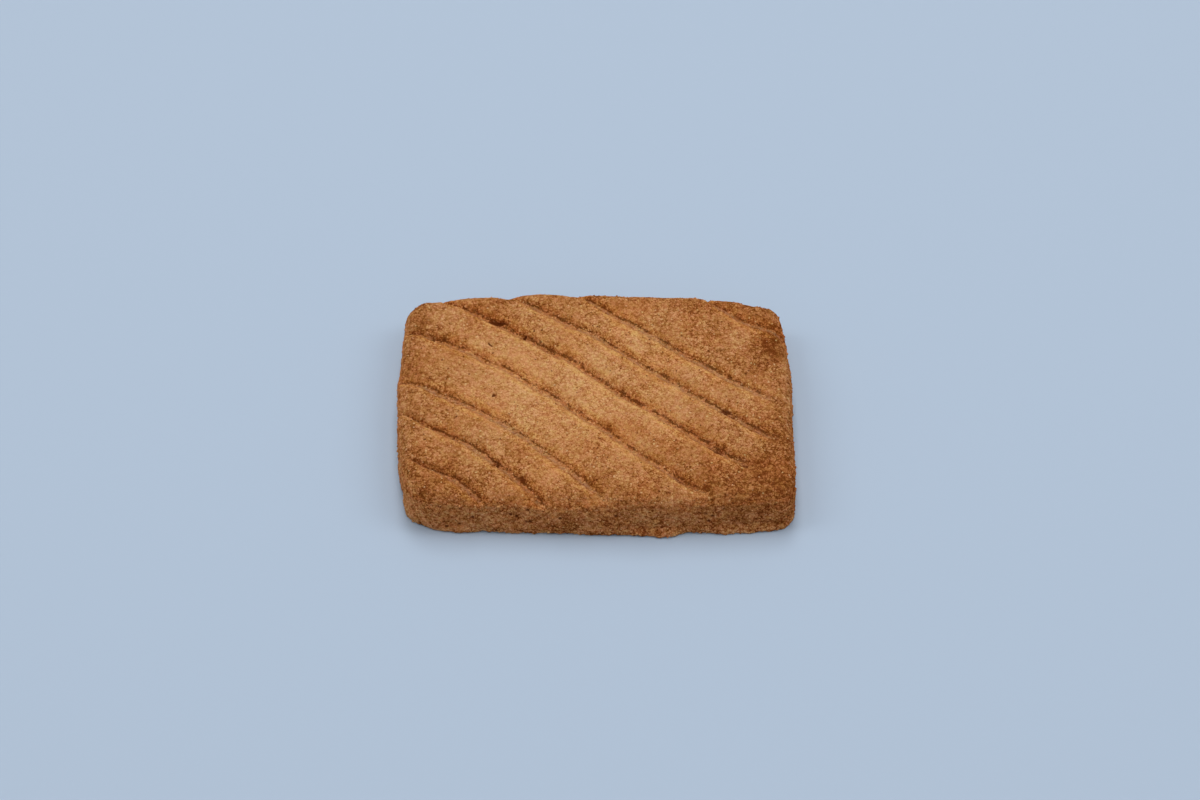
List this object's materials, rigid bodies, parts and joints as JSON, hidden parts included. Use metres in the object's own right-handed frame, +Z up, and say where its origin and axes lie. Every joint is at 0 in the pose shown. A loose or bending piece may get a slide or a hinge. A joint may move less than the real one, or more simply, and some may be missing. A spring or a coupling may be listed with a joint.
{
  "type": "shortbread biscuit",
  "caption": "Shortbread biscuit: a thick oblong slab with rounded corners, a flat base and slanting pressed grooves across its golden top.",
  "frame": {"origin": "middle of the biscuit's flat base, at the bottom centre of its bounding box", "axes": "+X along the long side, +Y towards the back long edge, +Z up through the grooved top"},
  "size_m": [0.075, 0.056, 0.0096],
  "materials": {
    "baked_crust": "dry, sandy baked crust, golden on top and browner at the rims, grooves and wall"
  },
  "bodies": {
    "root": {"shortbread": "baked_crust"}
  },
  "joints": []
}
